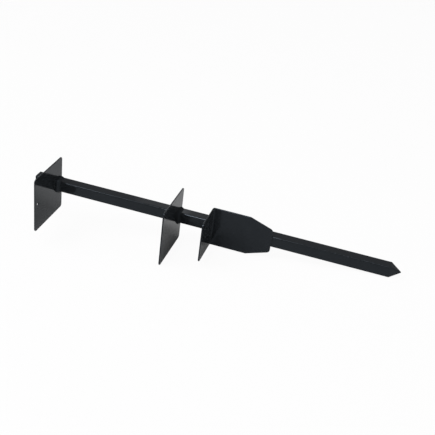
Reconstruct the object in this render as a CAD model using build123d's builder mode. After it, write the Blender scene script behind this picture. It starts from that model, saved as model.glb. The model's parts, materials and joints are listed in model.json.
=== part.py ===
from build123d import *
import os
from math import atan2, cos, degrees, sin

# A welded ground stake. A pointed square tube carries two notched square plates
# near its top end, and further down a folded sheet bracket, fin and flange in one.
# It lies as it comes to rest, point down, with its lowest edges on the floor.
# All sizes are in millimetres.

os.makedirs("parts", exist_ok=True)

# The tube and its folded point
tube_side = 19.05
tube_wall = 2.0
tube_corner = 2.5
tube_length = 596.3
point_length = 16.6
point_flat = 1.2
point_flat_corner = 0.3

# The cap that closes the top end, where a hammer strikes
cap_thickness = 3.0
cap_edge_round = 0.8

# The two notched plates
plate_side = 95.0
plate_thickness = 2.0
plate_corner = 5.0
plate_edge_break = 0.3
notch_clearance = 0.3
top_plate_from_end = 37.3
plate_pitch = 214.6
hole_diameter = 6.0
hole_inset = 9.7

# The folded bracket
sheet_thickness = 2.0
sheet_edge_break = 0.3
fold_inner_radius = 2.0
flange_below_plate = 56.5
flange_reach = 60.2
flange_corner = 5.0
fin_width = 68.3
fin_rise = 1.8
fin_shoulder = 62.0
fin_length = 100.4
fin_end_width = 41.0
fin_end_corner = 6.0

# The weld beads
plate_weld_rise = 3.0
top_weld_reach = 6.5
middle_weld_reach = 4.5
plate_weld_stop = 1.5
weld_toe = 0.3
fin_weld_leg = 3.0
fin_weld_root = 1.3
fin_weld_length = 28.0
fin_weld_from_flange = 12.0
fin_weld_from_end = 8.0

# Half widths, and places along the tube from the outer face of its closed top end
tube_half = tube_side / 2
plate_half = plate_side / 2
fin_half = fin_width / 2
fin_end_half = fin_end_width / 2
bore_side = tube_side - 2 * tube_wall
bore_corner = max(tube_corner - tube_wall, point_flat_corner)
notch_side = tube_side + 2 * notch_clearance
fold_outer_radius = fold_inner_radius + sheet_thickness
point_start = cap_thickness + tube_length
point_end = point_start + point_length
top_plate_start = top_plate_from_end
top_plate_end = top_plate_start + plate_thickness
middle_plate_start = top_plate_start + plate_pitch
middle_plate_end = middle_plate_start + plate_thickness
flange_start = middle_plate_end + flange_below_plate
shoulder_at = flange_start + fin_shoulder
fin_end = flange_start + fin_length

# The stake tips about the middle plate's lower edge, point down, until the fin's
# shoulder, the tube's heel behind the point, or the point itself touches the floor.
tilt_to_shoulder = atan2(plate_half - (fin_half - fin_rise), shoulder_at - middle_plate_end)
tilt_to_heel = atan2(plate_half - tube_half, point_start - middle_plate_end)
tilt_to_point = atan2(plate_half - point_flat / 2, point_end - middle_plate_end)
rest_tilt = min(tilt_to_shoulder, tilt_to_heel, tilt_to_point)

# The origin is on the floor, under the middle of the whole stake.
left_end = -tube_half * sin(rest_tilt)
right_end = point_end * cos(rest_tilt) + point_flat / 2 * sin(rest_tilt)
front_reach = max(plate_side - tube_half, tube_half + flange_reach)
end_centre = Vector(
    -(left_end + right_end) / 2,
    (front_reach - tube_half) / 2,
    middle_plate_end * sin(rest_tilt) + plate_half * cos(rest_tilt),
)
to_point = Vector(cos(rest_tilt), 0, -sin(rest_tilt))
to_back = Vector(0, 1, 0)
to_top = to_point.cross(to_back)
tube_axis = Axis(end_centre, to_point)


def across(distance):
    """Plane across the tube at a distance from its top end: x back, y up, z to the point."""
    return Plane(origin=end_centre + to_point * distance, x_dir=to_back, z_dir=to_point)


def in_front(depth):
    """Plane at a depth in front of the tube's axis: x to the point, y up, z forward."""
    return Plane(origin=end_centre - to_back * depth, x_dir=to_point, z_dir=-to_back)


def above(height):
    """Plane at a height over the tube's axis: x to the point, y back, z up."""
    return Plane(origin=end_centre + to_top * height, x_dir=to_point, z_dir=to_top)


def rim_of_faces(plate):
    """The outer edges of a plate's two large faces."""
    edges = ShapeList()
    for face in plate.faces().filter_by(tube_axis):
        edges.extend(face.outer_wire().edges())
    return edges


# The tube. Its four walls are cut, folded in and welded shut into the point.
with BuildPart() as tube:
    with BuildSketch(across(cap_thickness)):
        RectangleRounded(tube_side, tube_side, tube_corner)
    extrude(amount=tube_length)
    with BuildSketch(across(point_start)):
        RectangleRounded(tube_side, tube_side, tube_corner)
    with BuildSketch(across(point_end)):
        RectangleRounded(point_flat, point_flat, point_flat_corner)
    loft(ruled=True)
    with BuildSketch(across(cap_thickness)):
        RectangleRounded(bore_side, bore_side, bore_corner)
    extrude(amount=tube_length, mode=Mode.SUBTRACT)
    # The hollow of the point has the point's own form, scaled to the bore.
    hollow_end = point_start + point_length * bore_side / tube_side
    with BuildSketch(across(point_start)):
        RectangleRounded(bore_side, bore_side, bore_corner)
    with BuildSketch(across(hollow_end)):
        RectangleRounded(point_flat, point_flat, point_flat_corner)
    loft(ruled=True, mode=Mode.SUBTRACT)
tube.part.label = "tube"
export_step(tube.part, "parts/tube.step")

# The cap, as wide as the tube, with its struck edge rounded.
with BuildPart() as drive_cap:
    with BuildSketch(across(0)):
        RectangleRounded(tube_side, tube_side, tube_corner)
    extrude(amount=cap_thickness)
    struck_face = drive_cap.faces().sort_by(tube_axis)[0]
    fillet(struck_face.edges(), cap_edge_round)
drive_cap.part.label = "drive_cap"
export_step(drive_cap.part, "parts/drive_cap.step")

# The outline both plates share. The tube stands flush with the back edge, in the notch.
with BuildSketch() as plate_outline:
    with Locations((tube_half - plate_half, 0)):
        RectangleRounded(plate_side, plate_side, plate_corner)
    RectangleRounded(notch_side, notch_side, tube_corner + notch_clearance, mode=Mode.SUBTRACT)
    with Locations((tube_half, 0)):
        Rectangle(tube_side, notch_side, mode=Mode.SUBTRACT)

# The top plate, with one hole near the middle of its front edge.
with BuildPart() as top_plate:
    with BuildSketch(across(top_plate_start)):
        add(plate_outline.sketch)
        with Locations((tube_half - plate_side + hole_inset, 0)):
            Circle(hole_diameter / 2, mode=Mode.SUBTRACT)
    extrude(amount=plate_thickness)
    chamfer(rim_of_faces(top_plate), plate_edge_break)
top_plate.part.label = "top_plate"
export_step(top_plate.part, "parts/top_plate.step")

# The middle plate, without the hole.
with BuildPart() as middle_plate:
    with BuildSketch(across(middle_plate_start)):
        add(plate_outline.sketch)
    extrude(amount=plate_thickness)
    chamfer(rim_of_faces(middle_plate), plate_edge_break)
middle_plate.part.label = "middle_plate"
export_step(middle_plate.part, "parts/middle_plate.step")

# The bracket: a fin flat against the tube's front face, and a flange folded forward from it.
fold_end = flange_start + fold_outer_radius
fin_low = fin_rise - fin_half
fin_high = fin_rise + fin_half
with BuildPart() as fin_bracket:
    with BuildSketch(in_front(tube_half)):
        with BuildLine():
            Polyline(
                (fold_end, fin_low),
                (shoulder_at, fin_low),
                (fin_end, fin_rise - fin_end_half),
                (fin_end, fin_rise + fin_end_half),
                (shoulder_at, fin_high),
                (fold_end, fin_high),
                close=True,
            )
        fin_outline = make_face()
        fillet(fin_outline.vertices().group_by(Axis.X)[-1], fin_end_corner)
    extrude(amount=sheet_thickness)
    with BuildSketch(across(flange_start)):
        flange_back = -tube_half - fold_outer_radius
        with BuildLine():
            Polyline(
                (flange_back, fin_low),
                (-tube_half - flange_reach, fin_low),
                (-tube_half - flange_reach, fin_high),
                (flange_back, fin_high),
                close=True,
            )
        flange_outline = make_face()
        fillet(flange_outline.vertices().group_by(Axis.X)[0], flange_corner)
    extrude(amount=sheet_thickness)
    with BuildSketch(above(fin_low)):
        with Locations((fold_end, flange_back)):
            Circle(fold_outer_radius)
            Circle(fold_inner_radius, mode=Mode.SUBTRACT)
            Rectangle(
                fold_outer_radius, fold_outer_radius,
                align=(Align.MAX, Align.MIN), mode=Mode.INTERSECT,
            )
    extrude(amount=fin_width)
    # All edges are broken but those through the sheet and the lines where the fold begins.
    sheet_rim = fin_bracket.edges().filter_by(
        lambda edge: round(edge.length, 3) not in (round(sheet_thickness, 3), round(fin_width, 3))
    )
    chamfer(sheet_rim, sheet_edge_break)
fin_bracket.part.label = "fin_bracket"
export_step(fin_bracket.part, "parts/fin_bracket.step")


def plate_weld(plate_face, reach):
    """A bead round the tube's front, upper and lower faces, from a plate's pointward face."""
    with BuildPart() as bead:
        with BuildSketch(across(plate_face)):
            bead_side = tube_side + 2 * plate_weld_rise
            RectangleRounded(bead_side, bead_side, tube_corner + plate_weld_rise)
        slope = degrees(atan2(plate_weld_rise - weld_toe, reach))
        extrude(amount=reach, taper=slope)
        with BuildSketch(across(plate_face)):
            RectangleRounded(tube_side, tube_side, tube_corner)
            with Locations((tube_half - plate_weld_stop, 0)):
                Rectangle(bead_side, bead_side, align=(Align.MIN, Align.CENTER))
        extrude(amount=reach, mode=Mode.SUBTRACT)
    return bead


# The bead under the top plate, the longer of the two.
top_plate_weld = plate_weld(top_plate_end, top_weld_reach)
top_plate_weld.part.label = "top_plate_weld"
export_step(top_plate_weld.part, "parts/top_plate_weld.step")

# The bead under the middle plate.
middle_plate_weld = plate_weld(middle_plate_end, middle_weld_reach)
middle_plate_weld.part.label = "middle_plate_weld"
export_step(middle_plate_weld.part, "parts/middle_plate_weld.step")


def fin_weld(side):
    """Two stitches in the groove between the fin's back and the tube, above (1) or below (-1)."""
    fin_back = -tube_half
    bead_edge = fin_back + tube_corner + fin_weld_leg
    root = side * (tube_half - fin_weld_root)
    with BuildPart() as stitches:
        for start in (flange_start + fin_weld_from_flange, fin_end - fin_weld_from_end - fin_weld_length):
            with BuildSketch(across(start)):
                with BuildLine():
                    Polyline(
                        (fin_back, root),
                        (fin_back, side * (tube_half + fin_weld_leg)),
                        (bead_edge, side * tube_half),
                        (bead_edge, root),
                        close=True,
                    )
                make_face()
                RectangleRounded(tube_side, tube_side, tube_corner, mode=Mode.SUBTRACT)
            extrude(amount=fin_weld_length)
    return stitches


# The stitches on the tube's upper face.
fin_weld_upper = fin_weld(1)
fin_weld_upper.part.label = "fin_weld_upper"
export_step(fin_weld_upper.part, "parts/fin_weld_upper.step")

# The stitches on the tube's lower face.
fin_weld_lower = fin_weld(-1)
fin_weld_lower.part.label = "fin_weld_lower"
export_step(fin_weld_lower.part, "parts/fin_weld_lower.step")

print(f"rests tilted {degrees(rest_tilt):.3f} degrees, point down")
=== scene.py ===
# %% [markdown]
# # A welded ground stake
# This lesson dresses a steel stake that holds a hollow post over the ground.
# A pointed square tube carries two notched plates, and below them a folded
# bracket: a fin against turning, and a flange to press with a foot.
# Everything is coated in smooth black powder paint, and it lies on a pale floor.
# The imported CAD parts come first, because each new piece is placed by them.
# Every piece is measured in metres.

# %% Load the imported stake
import json
from math import cos, degrees, pi, radians, sin, tau

import bmesh
import bpy
from mathutils import Matrix, Vector


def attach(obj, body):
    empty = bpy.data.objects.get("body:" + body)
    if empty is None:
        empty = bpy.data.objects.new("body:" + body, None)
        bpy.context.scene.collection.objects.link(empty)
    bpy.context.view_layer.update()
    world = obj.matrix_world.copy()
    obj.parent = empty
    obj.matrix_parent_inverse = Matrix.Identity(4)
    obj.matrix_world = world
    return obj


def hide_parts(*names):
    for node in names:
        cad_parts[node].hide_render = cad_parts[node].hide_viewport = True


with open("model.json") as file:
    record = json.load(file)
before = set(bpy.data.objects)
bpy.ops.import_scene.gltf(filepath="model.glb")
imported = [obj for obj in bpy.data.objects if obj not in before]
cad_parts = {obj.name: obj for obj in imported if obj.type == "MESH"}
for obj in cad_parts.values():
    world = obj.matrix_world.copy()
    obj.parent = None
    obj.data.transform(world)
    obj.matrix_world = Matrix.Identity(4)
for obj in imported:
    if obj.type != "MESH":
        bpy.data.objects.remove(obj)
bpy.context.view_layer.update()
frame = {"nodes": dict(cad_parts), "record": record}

print("nodes:", ", ".join(sorted(frame["nodes"])))

# %% [markdown]
# ## The stake's own directions
# The stake lies tilted, so building weld beads straight in the floor's axes would
# need a slope in every number. The record's mounts say where the struck end is
# and which way the shank points, so a frame along the tube is made from those.
# In it, x runs to the point, y to the back and z up, square to the tube.

# %% A frame along the tube
mounts = {mount["name"]: mount for mount in frame["record"]["mounts"]}
struck_end = Vector(mounts["hammered_end"]["pos_m"])
to_point = Vector(mounts["ground_shank"]["axis"])
to_back = Vector((0, 1, 0))
to_top = to_point.cross(to_back)
turned = Matrix((to_point, to_back, to_top)).transposed().to_4x4()
along_tube = Matrix.Translation(struck_end) @ turned
from_floor = along_tube.inverted()


def corners_of(node):
    """The corners of a CAD node, measured along the tube's own directions."""
    return [from_floor @ vertex.co for vertex in frame["nodes"][node].data.vertices]


def reach(node):
    """Lowest and highest corner of a CAD node's box, along the tube's own directions."""
    corners = corners_of(node)
    return [Vector(pick(corner[i] for corner in corners) for i in range(3)) for pick in (min, max)]


tube_half = reach("drive_cap")[1].z
tilt = degrees(to_point.angle(Vector((1, 0, 0))))
print(f"tube {tube_half * 2000:.2f} mm square, tilted {tilt:.2f} degrees")

# %% [markdown]
# ## Powder coat
# Powder paint is sprayed on dry and melts in an oven into one smooth skin. It is
# nearly as glossy as lacquer, but never quite flat: the skin keeps a fine
# "orange peel", a slower swell in its thickness, and a few specks of dust.
# A picture of such a skin would stretch at the folds, so the pattern is computed
# from the place on the object, and bump carries the relief that is too fine to
# model. The black itself is almost without light, because what shows on such
# a coat is mostly what it mirrors. It is a cold black: seen head on, its gloss
# comes back a little blue, and at a grazing look it turns as white as the room.


# %% Nodes in a few words
def wire(node, inputs):
    """Links each input of a node that is given a socket, and sets each that is given a value."""
    for place, source in inputs.items():
        if isinstance(source, bpy.types.NodeSocket):
            node.id_data.links.new(source, node.inputs[place])
        else:
            node.inputs[place].default_value = source
    return node


def add(tree, kind, inputs=None, **options):
    """A new node in a tree, with its options set and its inputs wired."""
    node = tree.nodes.new(kind)
    for option, value in options.items():
        setattr(node, option, value)
    return wire(node, inputs or {})


def compute(tree, operation, *values):
    """The result of a Math node for some sockets or numbers."""
    return add(tree, "ShaderNodeMath", dict(enumerate(values)), operation=operation).outputs[0]


def start_material(name):
    """A new material, its node tree and its Principled shader."""
    material = bpy.data.materials.new(name)
    material.use_nodes = True
    return material, material.node_tree, material.node_tree.nodes["Principled BSDF"]


# %% Patterns
def grain(tree, place, width, detail=2.0):
    """Soft noise with features about width metres wide."""
    inputs = {"Vector": place, "Scale": 1 / width, "Detail": detail}
    return add(tree, "ShaderNodeTexNoise", inputs).outputs["Fac"]


def spread(tree, source, low, high, start=0.3, end=0.7, **options):
    """Stretches a range of values, here a noise's middle, to the values low to high."""
    inputs = {"Value": source, "From Min": start, "From Max": end, "To Min": low, "To Max": high}
    return add(tree, "ShaderNodeMapRange", inputs, **options).outputs["Result"]


# %% Dust under the skin
net_cells_per_metre = 140.0
dust_rarity = 0.97
nib_radius = 0.05


def dust(tree, place):
    """A few cells of a fine net hold a small round nib, whose radius is a share of its cell."""
    cells = add(tree, "ShaderNodeTexVoronoi", {"Vector": place, "Scale": net_cells_per_metre}).outputs
    chance = add(tree, "ShaderNodeSeparateColor", {"Color": cells["Color"]}).outputs["Red"]
    chosen = compute(tree, "GREATER_THAN", chance, dust_rarity)
    nib = spread(tree, cells["Distance"], 1.0, 0.0, start=0.0, end=nib_radius)
    return compute(tree, "MULTIPLY", nib, chosen)


print(f"dust in {1 - dust_rarity:.0%} of the cells, each {1000 / net_cells_per_metre:.1f} mm wide")

# %% Relief in layers
swell_width, swell_height = 0.016, 0.00006
peel_width, peel_height = 0.0019, 0.000006
nib_height = 0.00008


def relief(tree, place, peel):
    """The normal of the skin: dust on orange peel on a slow swell. peel scales the last two."""
    layers = [
        (grain(tree, place, swell_width, detail=1.0), swell_height * peel),
        (grain(tree, place, peel_width), peel_height * peel),
        (dust(tree, place), nib_height),
    ]
    under = {}
    for pattern, height in layers:
        bump = add(tree, "ShaderNodeBump", {"Height": pattern, "Distance": height, **under})
        under = {"Normal": bump.outputs["Normal"]}
    return under["Normal"]


heights = {"swell": swell_height, "peel": peel_height, "nibs": nib_height}
print("relief in mm:", ", ".join(f"{layer} {height * 1000:.3f}" for layer, height in heights.items()))

# %% The coat
darkest, lightest = (0.0105, 0.0118, 0.0133, 1), (0.0150, 0.0168, 0.0190, 1)
tone_width = 0.012
gloss_width, gloss_change = 0.03, 0.05
cold_gloss = (0.73, 0.855, 1.0, 1)
coat_ior = 1.32


def powder_coat(name, gloss=0.07, peel=1.0):
    """Smooth black powder paint. gloss is the roughness at its smoothest, peel scales the relief."""
    material, tree, shader = start_material(name)
    place = add(tree, "ShaderNodeTexCoord").outputs["Object"]
    tones = {"Factor": grain(tree, place, tone_width, detail=3.0), "A": darkest, "B": lightest}
    wire(shader, {
        "Base Color": add(tree, "ShaderNodeMix", tones, data_type="RGBA").outputs["Result"],
        "Roughness": spread(tree, grain(tree, place, gloss_width), gloss, gloss + gloss_change),
        "Normal": relief(tree, place, peel),
        "IOR": coat_ior,
        "Specular Tint": cold_gloss,
    })
    print(f"{name}: {len(tree.nodes)} nodes")
    return material


coat = powder_coat("black powder coat")
coat_on_tube = powder_coat("black powder coat on drawn tube", gloss=0.05)
coat_on_weld = powder_coat("black powder coat over weld", gloss=0.3, peel=2.5)

# %% [markdown]
# ## Coating the CAD parts
# The tube, its cap, the plates and the folded bracket already have their true
# shapes, edges rounded by the paint included, so they only get the finish.
# Drawn tube is smoother than rolled sheet, and its coat a little glossier.

# %% Finish each part
coats = {
    "tube": coat_on_tube,
    "drive_cap": coat_on_tube,
    "top_plate": coat,
    "middle_plate": coat,
    "fin_bracket": coat,
}
for node, finish in coats.items():
    part = frame["nodes"][node]
    part.data.materials.clear()
    part.data.materials.append(finish)
print("coated", ", ".join(coats))

# %% [markdown]
# ## Weld beads
# A hand-welded fillet is a row of overlapping frozen puddles, which leaves
# crescent ripples across the bead. The CAD parts there are plain wedges.
# A bead could be a bent tube with bump, but its ripples should show in the
# outline too. So a quarter of a disc is swept along the joint by short spins,
# and each ring is then swollen or shrunk about the root as the ripples ask.

# %% The section of a bead
bead_buried = 0.0003
bead_bulge = 0.7
disc_segments = 56
rim_margin = 0.001
off_face = 9.0


def quarter_disc(bm, root, out, along, legs):
    """A filled section in the corner at root: legs[0] wide out from one face, legs[1] along the other.

    Its layer keeps each point's place across the bead's face, from -1 to 1, or off_face for the
    buried corner.
    """
    radius = ((1 + bead_bulge) ** 2 + bead_bulge ** 2) ** 0.5
    axes = Matrix((out * legs[0], along * legs[1], out.cross(along))).transposed().to_4x4()
    centre = Matrix.Translation(root) @ axes @ Matrix.Translation((-bead_bulge, -bead_bulge, 0))
    bmesh.ops.create_circle(bm, cap_ends=True, segments=disc_segments, radius=radius, matrix=centre)
    for direction in (out, along):
        everything = bm.verts[:] + bm.edges[:] + bm.faces[:]
        cut_at = root - direction * bead_buried
        bmesh.ops.bisect_plane(bm, geom=everything, plane_co=cut_at, plane_no=-direction, clear_outer=True)
    across = bm.verts.layers.float.new("across")
    for vert in bm.verts:
        arm = (centre.inverted() @ vert.co).xy
        on_face = abs(arm.length - radius) < rim_margin
        vert[across] = arm.angle_signed(Vector((1, 1))) / (pi / 4) if on_face else off_face
    return across


# %% The ripples
ripple_pitch = 0.0021
ripple_swell = 0.07
ripple_lag = 0.0010
ripple_lean = 0.7
# The welder's hand is never steady: two slow waves, each (size, rate, start).
hand_waves = ((0.4, 310.0, 1.0), (0.3, 127.0, 0.0))
end_round = 0.0024
end_size = 0.2


def ripple(distance, side):
    """How much of its arm a bead gains at a distance along it, for a side from -1 to 1 of its face."""
    phase = (distance + ripple_lag * side * side) / ripple_pitch * tau
    hand = sum(size * sin(distance * rate + start) for size, rate, start in hand_waves)
    return ripple_swell * (sin(phase + ripple_lean * sin(phase)) + hand)


def shape_rings(rings, across, whole):
    """Ripples the rings of a bead, each (distance, root, points), and rounds off the bead's two ends."""
    for distance, foot, ring in rings:
        near_end = min(distance, whole - distance) / end_round
        fullness = 1.0 if near_end >= 1 else (1 - (1 - near_end) ** 2) ** 0.5
        size = end_size + (1 - end_size) * fullness
        for vert in ring:
            side = vert[across]
            gain = 0.0 if abs(side) > 1 else ripple(distance, side)
            vert.co = foot + (vert.co - foot) * size * (1 + gain)


print(f"a ripple every {ripple_pitch * 1000:.1f} mm")

# %% The sweep
bead_step = 0.00035


def sweep_bead(bm, across, root, moves):
    """Carries the section along moves, each (length, direction) or (angle, axis, centre), and ripples it."""
    rings, travelled = [(0.0, root, bm.verts[:])], 0.0
    tip = bm.verts[:] + bm.edges[:] + bm.faces[:]
    for move in moves:
        straight = len(move) == 2
        length = move[0] if straight else abs(move[0]) * (root - move[2]).length
        steps = max(1, round(length / bead_step))
        for _ in range(steps):
            if straight:
                how = dict(cent=root, axis=move[1], angle=0.0, dvec=move[1] * length / steps)
                root = root + move[1] * length / steps
            else:
                how = dict(cent=move[2], axis=move[1], angle=move[0] / steps, dvec=Vector())
                root = move[2] + Matrix.Rotation(move[0] / steps, 3, move[1]) @ (root - move[2])
            tip = bmesh.ops.spin(bm, geom=tip, steps=1, **how)["geom_last"]
            travelled += length / steps
            rings.append((travelled, root, [item for item in tip if isinstance(item, bmesh.types.BMVert)]))
    shape_rings(rings, across, travelled)
    return travelled


print(f"a ring every {bead_step * 1000:.2f} mm, {ripple_pitch / bead_step:.0f} to a ripple")

# %% From a mesh to a piece
def show(name, data):
    """A new object in the scene for a mesh, lamp or camera."""
    shown = bpy.data.objects.new(name, data)
    bpy.context.scene.collection.objects.link(shown)
    return shown


def show_mesh(name, bm, material):
    """A new object in the scene with this shape and finish."""
    mesh = bpy.data.meshes.new(name)
    bm.to_mesh(mesh)
    bm.free()
    mesh.materials.append(material)
    return show(name, mesh)


def weld_piece(name, nodes, bm):
    """Makes a finished bead from its mesh, in place of the CAD's plain wedges."""
    bmesh.ops.recalc_face_normals(bm, faces=bm.faces)
    bm.transform(along_tube)
    piece = show_mesh(name, bm, coat_on_weld)
    piece.data.shade_smooth()
    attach(piece, "root")
    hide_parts(*nodes)
    print(f"{name}: {len(piece.data.polygons)} faces")


# %% [markdown]
# ## Beads round the tube
# Each plate is welded to the tube on its lower side only, because the post
# covers its upper side and the bead would keep them apart. The torch starts
# near the back edge, goes over the top face, down the front and back below.

# %% Two plate welds
tube_corner = 0.0025
x_axis, y_axis, z_axis = Vector((1, 0, 0)), Vector((0, 1, 0)), Vector((0, 0, 1))
core = tube_half - tube_corner
for plate in ("top_plate", "middle_plate"):
    low, high = reach(plate + "_weld")
    face_at, weld_back = low.x, high.y
    start = Vector((face_at, weld_back, tube_half))
    bm = bmesh.new()
    across = quarter_disc(bm, start, z_axis, x_axis, (high.z - tube_half, high.x - low.x))
    moves = [
        (weld_back + core, -y_axis),
        (pi / 2, x_axis, Vector((face_at, -core, core))),
        (2 * core, -z_axis),
        (pi / 2, x_axis, Vector((face_at, -core, -core))),
        (weld_back + core, y_axis),
    ]
    length = sweep_bead(bm, across, start, moves)
    weld_piece(plate + "_bead", [plate + "_weld"], bm)
    print(f"bead of {length * 1000:.0f} mm under {plate}")

# %% [markdown]
# ## Stitches behind the fin
# The fin lies on the tube's rounded front corners, which leave a groove on
# both sides. Two short stitches in each groove hold it; a full seam would
# pull the thin sheet out of flat as it cooled.

# %% Four stitches
for side, node in ((1, "fin_weld_upper"), (-1, "fin_weld_lower")):
    corners = corners_of(node)
    low, high = reach(node)
    middle = (low.x + high.x) / 2
    ends = [[c.x for c in corners if c.x < middle], [c.x for c in corners if c.x > middle]]
    leg = abs(high.z if side > 0 else low.z) - tube_half
    for number, places in enumerate(ends, start=1):
        first, last = min(places), max(places)
        start = Vector((first, low.y, side * tube_half))
        bm = bmesh.new()
        across = quarter_disc(bm, start, y_axis, z_axis * side, (high.y - low.y, leg))
        length = sweep_bead(bm, across, start, [(last - first, x_axis)])
        weld_piece(f"{node}_stitch_{number}", [node], bm)
        print(f"stitch of {length * 1000:.0f} mm")

# %% [markdown]
# ## Floor and air
# The stake lies on a wide white floor that runs up to the horizon. A floor lit
# by lamps alone comes out grey and uneven, so it glows white for the camera,
# and a small share is left to the lamps, which keeps the stake's shadow. The
# coat is nearly a mirror, and a floor that glowed fully in it would wash the
# black out, so mirrored rays get a small share of a dimmer glow. The floor is
# not sampled as a lamp, because no matt surface sees its glow.
# The air dims soon above the horizon, as in a pale room with dark walls. It is
# white for the camera, and a touch of that white is mirrored too.


# %% Shares of rays
def ray_share(tree, seen, mirrored):
    """The share seen for rays from the camera or through glass, and mirrored for mirrored rays."""
    rays = add(tree, "ShaderNodeLightPath").outputs
    direct = compute(tree, "MAXIMUM", rays["Is Camera Ray"], rays["Is Transmission Ray"])
    straight = compute(tree, "MULTIPLY", direct, seen)
    return compute(tree, "MULTIPLY_ADD", rays["Is Glossy Ray"], mirrored, straight)


# %% The floor
floor_half_width = 40.0
floor_colour = (0.76, 0.76, 0.76, 1)
floor_glow_seen = 0.95
floor_glow_mirrored = 0.12
mirrored_level = 0.72

floor_material, tree, shader = start_material("white floor")
wire(shader, {"Base Color": floor_colour, "Roughness": 1.0, "Specular IOR Level": 0.0})
glossy = add(tree, "ShaderNodeLightPath").outputs["Is Glossy Ray"]
glow_level = spread(tree, glossy, 1.0, mirrored_level, start=0.0, end=1.0)
glow = add(tree, "ShaderNodeEmission", {"Strength": glow_level})
share = ray_share(tree, floor_glow_seen, floor_glow_mirrored)
blend = add(tree, "ShaderNodeMixShader", {0: share, 1: shader.outputs[0], 2: glow.outputs[0]})
wire(tree.nodes["Material Output"], {"Surface": blend.outputs[0]})
floor_material.cycles.emission_sampling = "NONE"

bm = bmesh.new()
bmesh.ops.create_grid(bm, x_segments=1, y_segments=1, size=floor_half_width)
floor = show_mesh("floor", bm, floor_material)
print("floor", floor.data.polygons[0].area, "square metres")

# %% The air
white = (1, 1, 1, 1)
sky_seen = 0.97
sky_mirrored = 0.06
low_sky, high_sky = 0.40, 0.22
fade_from, fade_to = sin(radians(2)), sin(radians(11))

world = bpy.data.worlds.new("studio")
bpy.context.scene.world = world
world.use_nodes = True
tree = world.node_tree
direction = add(tree, "ShaderNodeTexCoord").outputs["Generated"]
height = add(tree, "ShaderNodeSeparateXYZ", {0: direction}).outputs["Z"]
level = spread(tree, height, low_sky, high_sky, start=fade_from, end=fade_to, interpolation_type="SMOOTHSTEP")
room = wire(tree.nodes["Background"], {"Color": white, "Strength": level})
backdrop = add(tree, "ShaderNodeBackground", {"Color": white, "Strength": sky_seen})
share = ray_share(tree, 1.0, sky_mirrored)
choice = add(tree, "ShaderNodeMixShader", {0: share, 1: room.outputs[0], 2: backdrop.outputs[0]})
wire(tree.nodes["World Output"], {"Surface": choice.outputs[0]})
print("backdrop", sky_seen, "room from", low_sky, "to", high_sky)

# %% [markdown]
# ## Lamps
# A soft key lamp in front and high over the stake lights it, and wide fills on
# the left and right soften its shadow. The right one is kept out of what the
# coat mirrors, because it would light up the seams of the point.
# The tube's rounded edge mirrors a thin line of light. Two more lamps draw it
# and light nothing: a long strip, and a narrow core that makes it brightest
# beside the fin, as the hot middle of a real softbox does. They lie square to
# the tube, as the key lamp does, so the line runs straight. Far behind, a small
# lamp in front of a wide dim one shows as a glow on the tube's upper face,
# where it comes out of the middle plate.

# %% Seven lamps
stake_height = 0.06


def softbox(name, facing, azimuth, elevation, distance, size, brightness, lights=True, mirrored=True):
    """An area lamp that faces a place facing metres right of the stake's middle.

    Azimuth 180 is in front of it and 90 to the right; brightness 1 looks as bright as white paper.
    One that is not lights only shows in the coat, and one that is not mirrored only lights.
    """
    light = bpy.data.lights.new(name, "AREA")
    light.shape = "RECTANGLE"
    light.size, light.size_y = size
    light.energy = brightness * pi * size[0] * size[1]
    lamp = show(name, light)
    a, e = radians(azimuth), radians(elevation)
    toward = Vector((sin(a) * cos(e), cos(a) * cos(e), sin(e)))
    lamp.location = Vector((facing, 0, stake_height)) + toward * distance
    lamp.rotation_euler = toward.to_track_quat("Z", "Y").to_euler()
    lamp.visible_diffuse = lights
    lamp.visible_glossy = mirrored
    print(f"{name}: {light.energy:.1f} W")


softbox("key lamp", facing=-0.16, azimuth=180, elevation=66, distance=2.0,
        size=(0.48, 1.1), brightness=8.8)
softbox("key lamp core", facing=-0.265, azimuth=180, elevation=66, distance=1.95,
        size=(0.12, 1.1), brightness=5.5, lights=False)
softbox("strip lamp", facing=-0.11, azimuth=180, elevation=76, distance=1.6,
        size=(1.33, 0.2), brightness=8.0, lights=False)
softbox("left fill", facing=0, azimuth=-105, elevation=52, distance=3.0,
        size=(2.2, 2.2), brightness=3.5)
softbox("right fill", facing=0, azimuth=95, elevation=15, distance=3.0,
        size=(1.6, 1.6), brightness=3.6, mirrored=False)
softbox("back lamp", facing=0, azimuth=-13.1, elevation=32.3, distance=3.4,
        size=(0.11, 0.5), brightness=0.6)
softbox("back glow", facing=0, azimuth=-13.9, elevation=32.3, distance=3.4,
        size=(0.42, 0.6), brightness=0.26)

# %% [markdown]
# ## Camera
# The photograph looks down on the stake from the front and a little from the
# right. The lens, place and tilt come from fitting the stake's straight edges.
# The denoiser gets the picture alone: its helper passes follow what the coat
# mirrors, and on a near-mirror they are noisy and leave blotches.

# %% The camera
camera_data = bpy.data.cameras.new("camera")
camera_data.sensor_width = 36.0
camera_data.lens = 66.30
camera_data.clip_end = 200.0
camera = show("camera", camera_data)
camera.location = (0.32505, -1.03710, 0.68426)
azimuth, elevation, roll = radians(16.294), radians(29.378), radians(0.782)
turns = Matrix.Rotation(azimuth, 3, "Z") @ Matrix.Rotation(pi / 2 - elevation, 3, "X")
camera.rotation_euler = (turns @ Matrix.Rotation(roll, 3, "Z")).to_euler()
bpy.context.scene.camera = camera
bpy.context.scene.view_settings.view_transform = "Standard"
bpy.context.scene.cycles.denoising_input_passes = "RGB"
print("camera at", [round(value, 3) for value in camera.location])
